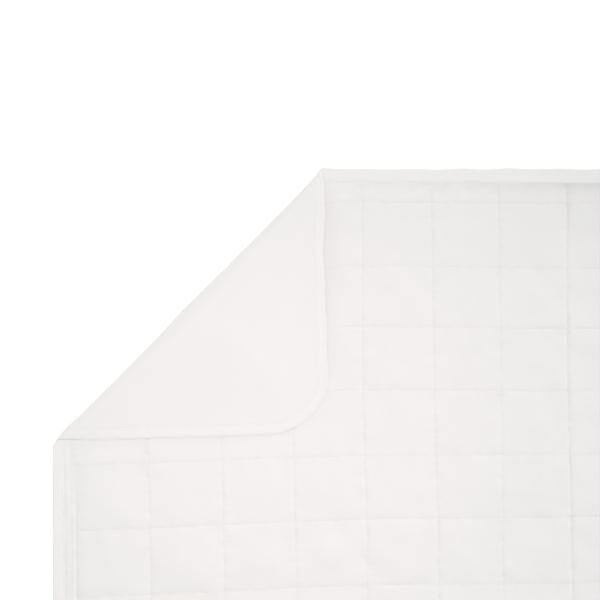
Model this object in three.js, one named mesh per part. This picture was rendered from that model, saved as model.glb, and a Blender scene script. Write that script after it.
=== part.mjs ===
import * as THREE from 'three';

// A quilted blanket laid out face up, with its far left corner folded over the rest.
// Three sewn pieces: the quilted front, the plain plush backing, and the binding round their edge.
// Millimetres, z up. x runs across the blanket and y along it. The origin is on the floor, under
// the middle of the blanket's box.
//
// Every piece is drawn flat first, as convex faces over the flat blanket. The faces are cut along
// the quilting lines, raised, shifted a little as real sewing is, cut again along the fold, and
// rolled over it. Every piece goes through the same steps, so the layers stay nested.

// Blanket, flat: 48 by 72 inches, nine by fifteen squares of 5 by 4.5 inches.
const inch = 25.4;
const halfWidth = 24 * inch;
const halfLength = 36 * inch;
const cornerRadius = 100;
const cornerSteps = 8;
const columns = { count: 9, pitch: 5 * inch };
const rows = { count: 15, pitch: 4.5 * inch };
const quiltHalfWidth = (columns.count * columns.pitch) / 2;
const quiltHalfLength = (rows.count * rows.pitch) / 2;

// Heights of the layers above the floor, where the blanket lies flat. A square rises from its
// sewn lines to a shoulder, a share of its width further in, and the less its flatness is, the
// fuller it is there.
const gap = 0.4;
const armThickness = 1.0;
const backingTop = 2.5;
const frontBottom = backingTop + gap;
const seamTop = 4.1;
const crown = 8.0;
const pressedCrown = 6.0;
const shoulder = 0.13;
const flatness = 0.25;
const armTop = seamTop + gap + armThickness;
const armCrest = armTop + 0.6;

// The binding: how far it reaches in over the front and under the backing, side by side.
const bindingSides = {
  left: { over: 19, under: 22 },
  top: { over: 24, under: 18 },
  right: { over: 21, under: 21 },
  bottom: { over: 21, under: 21 },
};
const slotDepth = 3.0;
const panelInset = slotDepth + 1.0;
const noseInset = { middle: 0, shoulder: 0.4, start: 1.6 };

// The folded corner: the line it is mirrored in, and the roll that the fold makes.
const foldPoint = { x: -371, y: 679.5 };
const foldAngle = THREE.MathUtils.degToRad(45.3);
const foldCentreHeight = 7.0;
const foldLength = Math.PI * (foldCentreHeight - frontBottom);
const foldSteps = 6;
const rimDroop = 1.5;
const droopReach = 160;
const pressMargin = { full: 10, none: 55 };

// How far each sewn line strays from its true place, at three even steps along it. Past the
// third step the drift goes back through them. Lines past the end of a table take its rows in turn.
const columnSteps = { first: 880, spacing: -350 };
const columnDrift = [
  { top: 0, middle: -2, low: 2.2 },
  { top: 0, middle: -3.5, low: 0.6 },
  { top: 0, middle: -1.5, low: 2.2 },
  { top: 0, middle: -2.5, low: 2 },
  { top: -0.3, middle: -2.8, low: 2.6 },
  { top: 1.2, middle: 1.4, low: 5.5 },
  { top: -0.7, middle: -1, low: -2.2 },
  { top: 2.5, middle: -2.2, low: -0.3 },
];
const rowSteps = { first: -560, spacing: 455 };
const rowDrift = [
  { left: 0, middle: -1, right: -0.5 },
  { left: -3, middle: -2, right: -5.6 },
  { left: -2, middle: 3.2, right: -1.8 },
  { left: -2, middle: 4.5, right: -1.8 },
  { left: -4.5, middle: 2, right: -3 },
  { left: -2.6, middle: 3.8, right: -1.8 },
  { left: -2.6, middle: 2.2, right: -6.9 },
];
const topEdgeDrift = { left: 0, middle: 2.5, right: 8 };

const colours = { front: 0xf2efee, plush: 0xf4f1f0, binding: 0xf1efed };
const roughness = { front: 0.85, plush: 0.95, binding: 0.8 };

const { lerp, clamp, smoothstep } = THREE.MathUtils;

// Outline of the blanket, inset by a width of its own on each side, as a loop of points.
// Each round corner turns from the inset of one side to the inset of the next.
function outline(inset) {
  const sides = [
    { x: 1, y: 1, from: inset.right, to: inset.top },
    { x: -1, y: 1, from: inset.top, to: inset.left },
    { x: -1, y: -1, from: inset.left, to: inset.bottom },
    { x: 1, y: -1, from: inset.bottom, to: inset.right },
  ];
  const loop = [];
  sides.forEach((corner, quarter) => {
    for (let step = 0; step <= cornerSteps; step += 1) {
      const share = step / cornerSteps;
      const angle = (quarter + share) * (Math.PI / 2);
      const radius = cornerRadius - lerp(corner.from, corner.to, share);
      loop.push({
        x: corner.x * (halfWidth - cornerRadius) + radius * Math.cos(angle),
        y: corner.y * (halfLength - cornerRadius) + radius * Math.sin(angle),
      });
    }
  });
  return loop;
}

function evenInset(width) {
  return { left: width, top: width, right: width, bottom: width };
}

function armInset(arm, extra) {
  return Object.fromEntries(
    Object.entries(bindingSides).map(([side, reach]) => [side, reach[arm] + extra]),
  );
}

// A solid in the making: its points, and its faces as loops of point numbers.
class Cloth {
  constructor() {
    this.points = [];
    this.faces = [];
  }

  addRing(loop, height) {
    const first = this.points.length;
    loop.forEach(({ x, y }) => this.points.push({ x, y, z: height }));
    return loop.map((_, index) => first + index);
  }

  addFace(loop, side) {
    this.faces.push({ loop, side });
  }

  // A band of four-sided faces from one ring to the next, facing out when both run
  // anticlockwise and the second lies above or inside the first.
  addBand(lower, upper, side) {
    lower.forEach((start, index) => {
      const next = (index + 1) % lower.length;
      this.addFace([start, lower[next], upper[next], upper[index]], side);
    });
  }

  middle(face) {
    const sum = face.loop.reduce(
      (total, index) => ({ x: total.x + this.points[index].x, y: total.y + this.points[index].y }),
      { x: 0, y: 0 },
    );
    return { x: sum.x / face.loop.length, y: sum.y / face.loop.length };
  }

  // Cuts the chosen faces along the upright plane where offset(point) is zero.
  // Neighbours that aren't cut take the new points into their edges, so the solid stays closed.
  cut(offset, chosen = () => true) {
    const near = 0.05;
    const offsets = this.points.map(offset);
    const sideOf = (index) => (Math.abs(offsets[index]) < near ? 0 : Math.sign(offsets[index]));
    const added = new Map();
    const edgeKey = (a, b) => (a < b ? `${a}_${b}` : `${b}_${a}`);
    const crossing = (a, b) => {
      const key = edgeKey(a, b);
      if (!added.has(key)) {
        const [low, high] = a < b ? [a, b] : [b, a];
        const share = offsets[low] / (offsets[low] - offsets[high]);
        const [p, q] = [this.points[low], this.points[high]];
        added.set(key, this.points.length);
        this.points.push({ x: lerp(p.x, q.x, share), y: lerp(p.y, q.y, share), z: lerp(p.z, q.z, share) });
      }
      return added.get(key);
    };

    const cutFaces = [];
    const whole = [];
    this.faces.forEach((face) => {
      const signs = face.loop.map(sideOf);
      if (!chosen(face) || !signs.includes(1) || !signs.includes(-1)) {
        whole.push(face);
        return;
      }
      const positive = [];
      const negative = [];
      face.loop.forEach((index, place) => {
        const next = face.loop[(place + 1) % face.loop.length];
        if (signs[place] >= 0) positive.push(index);
        if (signs[place] <= 0) negative.push(index);
        if (signs[place] * sideOf(next) < 0) {
          const between = crossing(index, next);
          positive.push(between);
          negative.push(between);
        }
      });
      cutFaces.push({ loop: positive, side: face.side }, { loop: negative, side: face.side });
    });

    whole.forEach((face) => {
      face.loop = face.loop.flatMap((index, place) => {
        const next = face.loop[(place + 1) % face.loop.length];
        const between = added.get(edgeKey(index, next));
        return between === undefined ? [index] : [index, between];
      });
    });
    this.faces = [...whole, ...cutFaces];
  }

  move(place) {
    this.points = this.points.map(place);
  }

  // Triangles of one face: the fan from the corner that gives the fattest ones, or from a new
  // middle point where the face has points in the middle of its straight edges.
  fan(face) {
    const at = (index) => new THREE.Vector3().copy(this.points[index]);
    const area = ([a, b, c]) => at(b).sub(at(a)).cross(at(c).sub(at(a))).length() / 2;
    const { loop } = face;
    const fans = loop.map((_, start) => {
      const turned = [...loop.slice(start), ...loop.slice(0, start)];
      const triangles = turned.slice(2).map((index, place) => [turned[0], turned[place + 1], index]);
      const areas = triangles.map(area);
      return { triangles, least: Math.min(...areas), total: areas.reduce((a, b) => a + b) };
    });
    const best = fans.reduce((a, b) => (b.least > a.least ? b : a));
    const leastShare = 0.02;
    if (best.least > (leastShare * best.total) / loop.length) return best.triangles;

    const sum = loop.map(at).reduce((total, point) => total.add(point), new THREE.Vector3());
    const hub = this.points.push(sum.divideScalar(loop.length)) - 1;
    return loop.map((index, place) => [hub, index, loop[(place + 1) % loop.length]]);
  }

  geometry() {
    const triangles = this.faces.flatMap((face) => this.fan(face));
    const geometry = new THREE.BufferGeometry();
    const positions = this.points.flatMap(({ x, y, z }) => [x, y, z]);
    geometry.setAttribute('position', new THREE.Float32BufferAttribute(positions, 3));
    geometry.setIndex(triangles.flat());
    geometry.computeVertexNormals();
    return geometry;
  }
}

function smooth(share) {
  return share * share * (3 - 2 * share);
}

// Drift along one line, through the three values of its row in the table and back.
function driftAlong(row, steps, place) {
  const [first, second, third] = Object.values(row);
  const order = [first, second, third, second];
  const position = (place - steps.first) / steps.spacing;
  const before = Math.floor(position);
  const pick = (index) => order[THREE.MathUtils.euclideanModulo(index, order.length)];
  return lerp(pick(before), pick(before + 1), smooth(position - before));
}

// Drift across the lines: each square lies between the drift of the two lines that bound it.
function driftBetween(position, count, valueAt) {
  const lower = clamp(Math.floor(position), 0, count - 1);
  return lerp(valueAt(lower), valueAt(lower + 1), clamp(position - lower, 0, 1));
}

// Where a point of the flat blanket really lies, once its lines have strayed.
function stray({ x, y, z }) {
  const column = (line) => driftAlong(columnDrift[line % columnDrift.length], columnSteps, y);
  const row = (line) => driftAlong(rowDrift[line % rowDrift.length], rowSteps, x);
  const acrossQuilt = driftBetween((x + quiltHalfWidth) / columns.pitch, columns.count, column);
  const pastSide = clamp((Math.abs(x) - quiltHalfWidth) / (halfWidth - quiltHalfWidth), 0, 1);
  const alongQuilt = driftBetween((quiltHalfLength - y) / rows.pitch, rows.count, row);
  const pastEnd = clamp((Math.abs(y) - quiltHalfLength) / (halfLength - quiltHalfLength), 0, 1);
  const edge = y > 0 ? driftAlong(topEdgeDrift, rowSteps, x) : 0;
  return { x: x + lerp(acrossQuilt, 0, pastSide), y: y + lerp(alongQuilt, edge, pastEnd), z };
}

// Distance in from the blanket's edge, negative outside it.
function depthInside(x, y) {
  const pastX = Math.abs(x) - (halfWidth - cornerRadius);
  const pastY = Math.abs(y) - (halfLength - cornerRadius);
  if (pastX > 0 && pastY > 0) return cornerRadius - Math.hypot(pastX, pastY);
  return cornerRadius - Math.max(pastX, pastY);
}

// Distance past the line where the fold begins, towards the folded corner.
const towardsCorner = { x: -Math.sin(foldAngle), y: Math.cos(foldAngle) };

function pastFold({ x, y }) {
  const fromMirror = (x - foldPoint.x) * towardsCorner.x + (y - foldPoint.y) * towardsCorner.y;
  return fromMirror + foldLength / 2;
}

// How far the squares are pressed down where the folded corner lies on them, from 0 to 1.
function pressed(point) {
  const turned = foldLength - 2 * pastFold(point);
  const mirrored = depthInside(point.x + turned * towardsCorner.x, point.y + turned * towardsCorner.y);
  return smoothstep(mirrored, -pressMargin.none, -pressMargin.full);
}

// Rolls a point of the flat blanket round the fold and lays it back over the blanket.
// The rim of the folded corner sinks a little, because nothing under it holds it up.
function rollOver(point) {
  const distance = pastFold(point);
  if (distance <= 0) return point;
  const angle = Math.PI * Math.min(distance / foldLength, 1);
  const radius = foldCentreHeight - point.z;
  const overlap = Math.max(distance - foldLength, 0);
  const across = radius * Math.sin(angle) - overlap - distance;
  const nearRim = 1 - clamp(depthInside(point.x, point.y) / droopReach, 0, 1);
  const sink = rimDroop * nearRim * nearRim * smoothstep(overlap, 0, droopReach);
  return {
    x: point.x + across * towardsCorner.x,
    y: point.y + across * towardsCorner.y,
    z: foldCentreHeight - radius * Math.cos(angle) - sink,
  };
}

function insideQuilt({ x, y }) {
  return Math.abs(x) < quiltHalfWidth && Math.abs(y) < quiltHalfLength;
}

// Cuts the chosen faces of a piece across every square, at a given share of its width and
// length. A share of 0 is the quilting lines themselves, those round the outside among them.
function cutSquares(cloth, share, chosen) {
  for (let line = share; line <= columns.count; line += 1) {
    const x = line * columns.pitch - quiltHalfWidth;
    cloth.cut((point) => point.x - x, chosen);
  }
  for (let line = share; line <= rows.count; line += 1) {
    const y = line * rows.pitch - quiltHalfLength;
    cloth.cut((point) => point.y - y, chosen);
  }
}

// Cuts every piece alike: along the lines everywhere, and half way between them in the corner
// that folds, so that layers which bend together have their points in the same places.
function cutAlike(cloth) {
  cutSquares(cloth, 0);
  cutSquares(cloth, 0.5, (face) => pastFold(cloth.middle(face)) > 0);
}

// Lays a flat piece as it is in use: lines astray, corner folded over.
function layOut(cloth) {
  cloth.move(stray);
  for (let step = 0; step <= foldSteps; step += 1) {
    const begin = (step * foldLength) / foldSteps;
    cloth.cut((point) => pastFold(point) - begin);
  }
  cloth.move(rollOver);
}

// The front: flat below, its squares raised between the sewn lines above.
function quiltedFront() {
  const cloth = new Cloth();
  const edge = outline(evenInset(panelInset));
  const lower = cloth.addRing(edge, frontBottom);
  const upper = cloth.addRing(edge, seamTop);
  cloth.addFace([...lower].reverse(), 'bottom');
  cloth.addBand(lower, upper, 'edge');
  cloth.addFace(upper, 'top');

  cutAlike(cloth);
  [0.5, shoulder, 1 - shoulder].forEach((share) => {
    cutSquares(cloth, share, (face) => face.side === 'top' && insideQuilt(cloth.middle(face)));
  });
  cloth.move((point) => {
    if (point.z < seamTop || !insideQuilt(point)) return point;
    const across = Math.abs(Math.sin((Math.PI * (point.x + quiltHalfWidth)) / columns.pitch));
    const along = Math.abs(Math.sin((Math.PI * (point.y + quiltHalfLength)) / rows.pitch));
    const top = lerp(crown, pressedCrown, pressed(point));
    return { ...point, z: seamTop + (top - seamTop) * (across * along) ** flatness };
  });
  layOut(cloth);
  return cloth.geometry();
}

// The backing: one flat plush sheet, thinned under the binding, which lies flush with it.
function plainBacking() {
  const cloth = new Cloth();
  const inner = outline(armInset('under', gap));
  const edge = outline(evenInset(panelInset));
  const sole = cloth.addRing(inner, 0);
  const step = cloth.addRing(inner, armThickness + gap);
  const lower = cloth.addRing(edge, armThickness + gap);
  const upper = cloth.addRing(edge, backingTop);
  cloth.addFace([...sole].reverse(), 'bottom');
  cloth.addBand(sole, step, 'edge');
  cloth.addBand(step, lower, 'edge');
  cloth.addBand(lower, upper, 'edge');
  cloth.addFace(upper, 'top');

  cutAlike(cloth);
  layOut(cloth);
  return cloth.geometry();
}

// The binding: a strip folded over the edge of both panels, a little padded on top.
function edgeBinding() {
  const cloth = new Cloth();
  const noseMiddle = armTop / 2;
  const profile = [
    { inset: armInset('under', 0), height: 0 },
    { inset: evenInset(noseInset.start), height: 0 },
    { inset: evenInset(noseInset.shoulder), height: noseMiddle / 2 },
    { inset: evenInset(noseInset.middle), height: noseMiddle },
    { inset: evenInset(noseInset.shoulder), height: armTop - noseMiddle / 2 },
    { inset: evenInset(noseInset.start), height: armTop },
    { inset: evenInset(bindingSides.left.over / 2), height: armCrest },
    { inset: armInset('over', 0), height: armTop },
    { inset: armInset('over', 0), height: armTop - armThickness },
    { inset: evenInset(slotDepth), height: armTop - armThickness },
    { inset: evenInset(slotDepth), height: armThickness },
    { inset: armInset('under', 0), height: armThickness },
  ];
  const rings = profile.map(({ inset, height }) => cloth.addRing(outline(inset), height));
  rings.forEach((ring, index) => cloth.addBand(ring, rings[(index + 1) % rings.length], 'strip'));

  cutAlike(cloth);
  layOut(cloth);
  return cloth.geometry();
}

function piece(name, geometry, cloth) {
  const look = { color: colours[cloth], roughness: roughness[cloth], metalness: 0 };
  const mesh = new THREE.Mesh(geometry, new THREE.MeshStandardMaterial(look));
  mesh.name = name;
  return mesh;
}

const blanket = new THREE.Group();
blanket.add(piece('quilted_front', quiltedFront(), 'front'));
blanket.add(piece('plain_backing', plainBacking(), 'plush'));
blanket.add(piece('edge_binding', edgeBinding(), 'binding'));

// The strayed edges shift the box a little, so the blanket is brought back over the origin.
const box = new THREE.Box3().setFromObject(blanket);
const centre = box.getCenter(new THREE.Vector3());
blanket.position.set(-centre.x, -centre.y, 0);

export default blanket;
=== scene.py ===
import math

import bmesh
import bpy
import numpy as np
from mathutils import Euler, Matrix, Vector


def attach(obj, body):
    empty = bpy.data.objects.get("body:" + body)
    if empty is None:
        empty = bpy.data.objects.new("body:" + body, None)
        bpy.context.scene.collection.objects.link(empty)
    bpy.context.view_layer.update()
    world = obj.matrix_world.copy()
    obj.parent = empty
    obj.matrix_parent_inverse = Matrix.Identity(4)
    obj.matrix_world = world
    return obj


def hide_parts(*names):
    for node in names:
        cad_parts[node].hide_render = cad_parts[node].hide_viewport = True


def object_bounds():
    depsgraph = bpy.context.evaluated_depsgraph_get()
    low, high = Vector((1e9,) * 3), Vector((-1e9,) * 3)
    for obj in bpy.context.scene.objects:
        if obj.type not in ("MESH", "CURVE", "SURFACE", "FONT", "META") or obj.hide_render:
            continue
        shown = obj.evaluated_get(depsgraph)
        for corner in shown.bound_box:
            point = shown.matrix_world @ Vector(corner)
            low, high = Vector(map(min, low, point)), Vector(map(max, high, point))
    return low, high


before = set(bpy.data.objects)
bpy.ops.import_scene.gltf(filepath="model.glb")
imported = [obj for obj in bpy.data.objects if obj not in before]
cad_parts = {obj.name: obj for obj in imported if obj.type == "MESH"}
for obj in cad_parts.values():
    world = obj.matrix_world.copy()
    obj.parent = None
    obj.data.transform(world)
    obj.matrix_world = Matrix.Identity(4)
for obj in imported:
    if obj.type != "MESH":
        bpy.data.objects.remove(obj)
cad_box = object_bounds()

# A quilted blanket laid out face up, with its far left corner folded over the rest.
# Points are worked out on the flat blanket first, in millimetres: x across it, y along it and z
# up from the floor. They are then shifted as real sewing is, and rolled over the fold.
MM = 0.001

# Flat blanket
HALF_WIDTH = 609.6
HALF_LENGTH = 914.4
CORNER_RADIUS = 100.0
STRAIGHT_X = HALF_WIDTH - CORNER_RADIUS
STRAIGHT_Y = HALF_LENGTH - CORNER_RADIUS
COLUMNS = 9
COLUMN_PITCH = 127.0
ROWS = 15
ROW_PITCH = 114.3
QUILT_HALF_WIDTH = COLUMNS * COLUMN_PITCH / 2
QUILT_HALF_LENGTH = ROWS * ROW_PITCH / 2

# Heights above the floor where the blanket lies flat
FRONT_BOTTOM = 2.9
SEAM_TOP = 4.1
BACKING_TOP = 2.5
REBATE_HEIGHT = 1.4
ARM_THICKNESS = 1.0
ARM_GAP = 0.4

# Relief of the front: a crease at each sewn line, a shoulder past it, and a low crown
COLUMN_CREASE = {"height": 1.3, "width": 3.0}
ROW_CREASE = {"height": 0.6, "width": 2.2}
COLUMN_SHOULDER = {"height": 1.2, "after": 24.0, "before": 13.0}
ROW_SHOULDER = {"height": 0.9, "after": 12.0, "before": 6.5}
FAR_OFF = 120.0
CROWN_HEIGHT = 0.8
CROWN_LEAN = 1.25
CROWN_BY_ROW = {"row": [0, 3, 5, 9], "share": [0.6, 0.8, 1.5, 1.3]}
CROWN_CHANGE = 0.3
RIM_START = 0.45
RIM_RISE = 5.0
LOWEST_RELIEF = -0.4

# Random unevenness: the most that it adds, the size of its bumps, and its seed
LUMPS = [{"most": 0.4, "size": 46, "seed": 41}, {"most": 0.22, "size": 24, "seed": 42}]
LUMP_RISE = 12.0
LINE_STRENGTH = {"mean": 0.95, "most": 0.45, "size": (38, 30)}
PUCKERS = {
    "column": {"most": 1.1, "size": (12, 34), "seed": 51},
    "row": {"most": 0.7, "size": (14, 34), "seed": 53},
    "end": {"most": 1.6, "size": (11, 34), "seed": 55},
    "side": {"most": 1.6, "size": (11, 34), "seed": 57},
}
PUCKER_FADE = {"rise": 2.5, "reach": 13.0}
PUCKER_STRENGTH = {"mean": 0.55, "most": 0.45, "size": (90, 60)}
SIDE_EDGE_WAVES = [{"most": 0.5, "size": 48, "seed": 5}]
NEAR_EDGE_WAVES = [{"most": 0.6, "size": 52, "seed": 7}]
LAYER_WAVES = [{"most": 0.035, "size": 120, "seed": 21}, {"most": 0.025, "size": 52, "seed": 22}]
FOLD_WAVES = [{"most": 1.2, "size": 80, "seed": 31}, {"most": 0.6, "size": 21, "seed": 32}]

# Hollow of the plush beside the binding's lower arm, and its own soft bumps
ARM_DIP = {"depth": 0.096, "reach": 4.0}
ARM_DIP_CHANGE = [{"most": 0.25, "size": 12, "seed": 61}]
PLUSH_LEVEL = 0.15
PLUSH_BUMPS = [{"most": 0.15, "size": 30, "seed": 63}]

# The folded corner presses the squares flat. Beside its rim they slope down to it and settle,
# over widths that change with how far along the blanket the place is.
PRESSED_SHARE = 0.3
PRESSED_FROM = 8.0
BESIDE_RIM_TOP = 6.8
BESIDE_RIM = {
    "y": [470, 560, 700, 770],
    "slope": [2.5, 14, 16, 28],
    "settling": [60, 20, 20, 20],
}
RIM_APPROACH = {"start": -45.0, "end": -5.0}

# How far the binding reaches in over the front and under the backing, side by side
BINDING_OVER = {"left": 19.0, "top": 24.0, "right": 21.0, "bottom": 21.0}
BINDING_UNDER = {"left": 20.5, "top": 17.0, "right": 21.0, "bottom": 21.0}
PANEL_INSET = 9.0

# Shares for what is found on the far side only, and on both short sides
ON_FAR_SIDE = {"left": 0.0, "top": 1.0, "right": 0.0, "bottom": 0.0}
ON_ENDS = {"left": 0.0, "top": 1.0, "right": 0.0, "bottom": 1.0}

# Fold of the far left corner
FOLD_POINT = (-371.0, 679.5)
FOLD_ANGLE = math.radians(45.3)
FOLD_CENTRE_HEIGHT = 7.0
FOLD_LENGTH = math.pi * (FOLD_CENTRE_HEIGHT - FRONT_BOTTOM)
FOLD_CUTS = 12
FOLD_SQUARENESS = 0.65
TOWARDS_CORNER = np.array([-math.sin(FOLD_ANGLE), math.cos(FOLD_ANGLE)])
ALONG_FOLD = np.array([math.cos(FOLD_ANGLE), math.sin(FOLD_ANGLE)])

# How far each sewn line strays from its true place, at three even steps along it, and how deep
# it is against the others. Past the third step the drift goes back through the steps. Lines past
# the last of a table take its values from the first again.
COLUMN_STEPS = {"first": 880.0, "spacing": -350.0}
COLUMN_DRIFT = {
    "top": [0, 0, 0, 0, -0.3, 1.2, -0.7, 2.5],
    "middle": [-2, -3.5, -1.5, -2.5, -2.8, 1.4, -1, -2.2],
    "low": [2.2, 0.6, 2.2, 2, 2.6, 5.5, -2.2, -0.3],
    "depth": [1.4, 0.9, 0.8, 0.9, 1.15, 1.2, 1.05, 2.2],
}
ROW_STEPS = {"first": -560.0, "spacing": 455.0}
ROW_DRIFT = {
    "left": [0, -3, -2, -2, -4.5, -2.6, -2.6],
    "middle": [-1, -2, 3.2, 4.5, 2, 3.8, 2.2],
    "right": [-0.5, -5.6, -1.8, -1.8, -3, -1.8, -6.9],
    "depth": [1.3, 0.6, 0.9, 0.8, 0.65, 0.85, 0.75],
}
TOP_EDGE_DRIFT = {"left": [0], "middle": [2.5], "right": [8]}
TOP_EDGE_WAVE = {"height": 0.8, "length": 92.0, "crest": 29.0}
TOP_WAVE_CHANGE = [{"most": 0.5, "size": 140, "seed": 3}]

# How far the edges of the folded corner lie off their true lines: the far edge at places x, and
# the left edge at places y
FOLDED_FAR_EDGE = {
    "x": [-600, -575, -555, -500, -450, -390, -350, -310, -285, -250, -215, -175, -142],
    "out": [2, 5, 5.5, 6.6, 4.8, 3.4, 2.2, 0.4, -0.6, 0.4, 3.8, 3, 0],
}
FOLDED_LEFT_EDGE = {"y": [480, 540, 780, 814, 852, 885], "out": [0, 2, 2, 1.2, -0.8, 0]}

# How high the cloth is pulled up along the binding's inner edge, along the far side, and how much
# painted shade darkens its colour below it. The lift stops short of the fold.
SEAM_LIFT = {
    "x": [-150, -60, 120, 230, 380, 600],
    "height": [0.3, 1.6, 2.6, 5.0, 7.5, 2.5],
    "width": [8, 11, 11, 12, 15, 14],
    "painted_shade_weight": [0.1, 0.4, 0.6, 1.1, 2.0, 1.0],
}
SIDE_LIFT = {"height": 0.5, "width": 8}
LIFT_STOPS = {"start": -60.0, "end": -10.0}

# Wrinkles that show in the cloth, as the two ends, the width and the height of soft ridges or,
# where negative, troughs
WRINKLES = [
    ((58, 893), (18, 872), 5.5, -2.6),
    ((96, 892), (70, 866), 5.5, -2.6),
    ((-36, 889), (-70, 876), 5.5, -2.2),
    ((154, 891), (126, 872), 5.5, -2.2),
    ((124, 892), (137, 873), 5.5, -2.0),
    ((318, 890), (318, 862), 5.5, -2.6),
    ((-24, 719), (-8, 703), 6, 0.6),
    ((18, 699), (33, 679), 6, 0.6),
    ((84, 634), (134, 657), 8, 0.9),
    ((103, 616), (155, 538), 8, 0.6),
    ((-74, 225), (-54, 192), 8, -0.9),
    ((193, 213), (222, 168), 8, 0.8),
    ((324, 263), (352, 218), 14, -1.2),
    ((85, 240), (126, 212), 8, 0.8),
    ((-352, 262), (-332, 242), 7, 0.6),
]


def smooth(share):
    share = np.clip(share, 0, 1)
    return share * share * (3 - 2 * share)


def step_between(value, start, end):
    return smooth((value - start) / (end - start))


def ramp(value, table):
    return step_between(value, table["start"], table["end"])


def blend(first, second, share):
    return first + (second - first) * share


def unevenness(x, y, size, seed):
    """Smooth random bumps from -1 to 1. Their size is one width, or one along x and one along y."""
    cells = 64
    table = np.random.default_rng(seed).uniform(-1, 1, (cells, cells))
    size_x, size_y = size if isinstance(size, tuple) else (size, size)
    place_x, place_y = np.broadcast_arrays(np.asarray(x) / size_x, np.asarray(y) / size_y)
    cell_x, cell_y = np.floor(place_x).astype(int), np.floor(place_y).astype(int)
    share_x, share_y = smooth(place_x - cell_x), smooth(place_y - cell_y)
    left, right = cell_x % cells, (cell_x + 1) % cells
    low, high = cell_y % cells, (cell_y + 1) % cells
    near = blend(table[left, low], table[right, low], share_x)
    far = blend(table[left, high], table[right, high], share_x)
    return blend(near, far, share_y)


def bumps(rows, x, y):
    """All the random bumps of a table together."""
    return sum(row["most"] * unevenness(x, y, row["size"], row["seed"]) for row in rows)


def drift_along(table, line, steps, place):
    """Drift along lines, through their three values in the table and back."""
    first, middle, last = list(table.values())[:3]
    values = np.array([first, middle, last, middle], float).T
    position = (place - steps["first"]) / steps["spacing"]
    before = np.floor(position).astype(int)
    row = np.mod(line, len(first))
    return blend(values[row, before % 4], values[row, (before + 1) % 4], smooth(position - before))


def drift_between(position, count, value_at):
    """Drift across the lines: a square lies between the drift of the two lines that bound it."""
    lower = np.clip(np.floor(position), 0, count - 1).astype(int)
    return blend(value_at(lower), value_at(lower + 1), np.clip(position - lower, 0, 1))


def far_edge(x):
    """How far the far edge of the blanket lies off its true line."""
    turn = 2 * math.pi * (x - TOP_EDGE_WAVE["crest"]) / TOP_EDGE_WAVE["length"]
    wave = TOP_EDGE_WAVE["height"] * np.cos(turn) * (1 + bumps(TOP_WAVE_CHANGE, x, 0))
    folded = np.interp(x, FOLDED_FAR_EDGE["x"], FOLDED_FAR_EDGE["out"])
    return drift_along(TOP_EDGE_DRIFT, 0 * x.astype(int), ROW_STEPS, x) + wave + folded


def stray(points):
    """Where points of the flat blanket really lie, once its sewn lines have strayed."""
    x, y, z = points.T
    across = drift_between(
        (x + QUILT_HALF_WIDTH) / COLUMN_PITCH,
        COLUMNS,
        lambda line: drift_along(COLUMN_DRIFT, line, COLUMN_STEPS, y),
    )
    along = drift_between(
        (QUILT_HALF_LENGTH - y) / ROW_PITCH,
        ROWS,
        lambda line: drift_along(ROW_DRIFT, line, ROW_STEPS, x),
    )
    past_side = np.clip((np.abs(x) - QUILT_HALF_WIDTH) / (HALF_WIDTH - QUILT_HALF_WIDTH), 0, 1)
    past_end = np.clip((np.abs(y) - QUILT_HALF_LENGTH) / (HALF_LENGTH - QUILT_HALF_LENGTH), 0, 1)
    side_wave = bumps(SIDE_EDGE_WAVES, y, 0) * np.sign(x)
    folded = np.interp(y, FOLDED_LEFT_EDGE["y"], FOLDED_LEFT_EDGE["out"])
    side_wave = side_wave - np.where(x < 0, folded, 0)
    end = np.where(y > 0, far_edge(x), bumps(NEAR_EDGE_WAVES, x, 0))
    return np.stack(
        [x + blend(across, side_wave, past_side), y + blend(along, end, past_end), z], 1
    )


def past_straight(x, y):
    """How far points lie past where the straight sides end and the round corners begin."""
    return np.abs(x) - STRAIGHT_X, np.abs(y) - STRAIGHT_Y


def depth_inside(x, y):
    """Distance in from the blanket's edge, negative outside it."""
    past_x, past_y = past_straight(x, y)
    round_depth = CORNER_RADIUS - np.hypot(past_x, past_y)
    straight_depth = CORNER_RADIUS - np.maximum(past_x, past_y)
    return np.where((past_x > 0) & (past_y > 0), round_depth, straight_depth)


def side_value(x, y, values):
    """A value given side by side, at points near the edge, turning from one to the next."""
    past_x, past_y = past_straight(x, y)
    in_corner = (past_x > 0) & (past_y > 0)
    turn = np.arctan2(np.maximum(past_y, 0), np.maximum(past_x, 1e-9)) / (math.pi / 2)
    share = np.where(in_corner, turn, past_y > past_x)
    across = np.where(x < 0, values["left"], values["right"])
    along = np.where(y > 0, values["top"], values["bottom"])
    return blend(across, along, share)


def past_fold(x, y):
    """Distance past the line where the fold begins, towards the folded corner."""
    from_mirror = (x - FOLD_POINT[0]) * TOWARDS_CORNER[0] + (y - FOLD_POINT[1]) * TOWARDS_CORNER[1]
    return from_mirror + FOLD_LENGTH / 2


def mirrored_depth(x, y):
    """How far a place lies inside the outline of the folded corner, as it lies on the blanket."""
    turned = FOLD_LENGTH - 2 * past_fold(x, y)
    return depth_inside(x + turned * TOWARDS_CORNER[0], y + turned * TOWARDS_CORNER[1])


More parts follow.
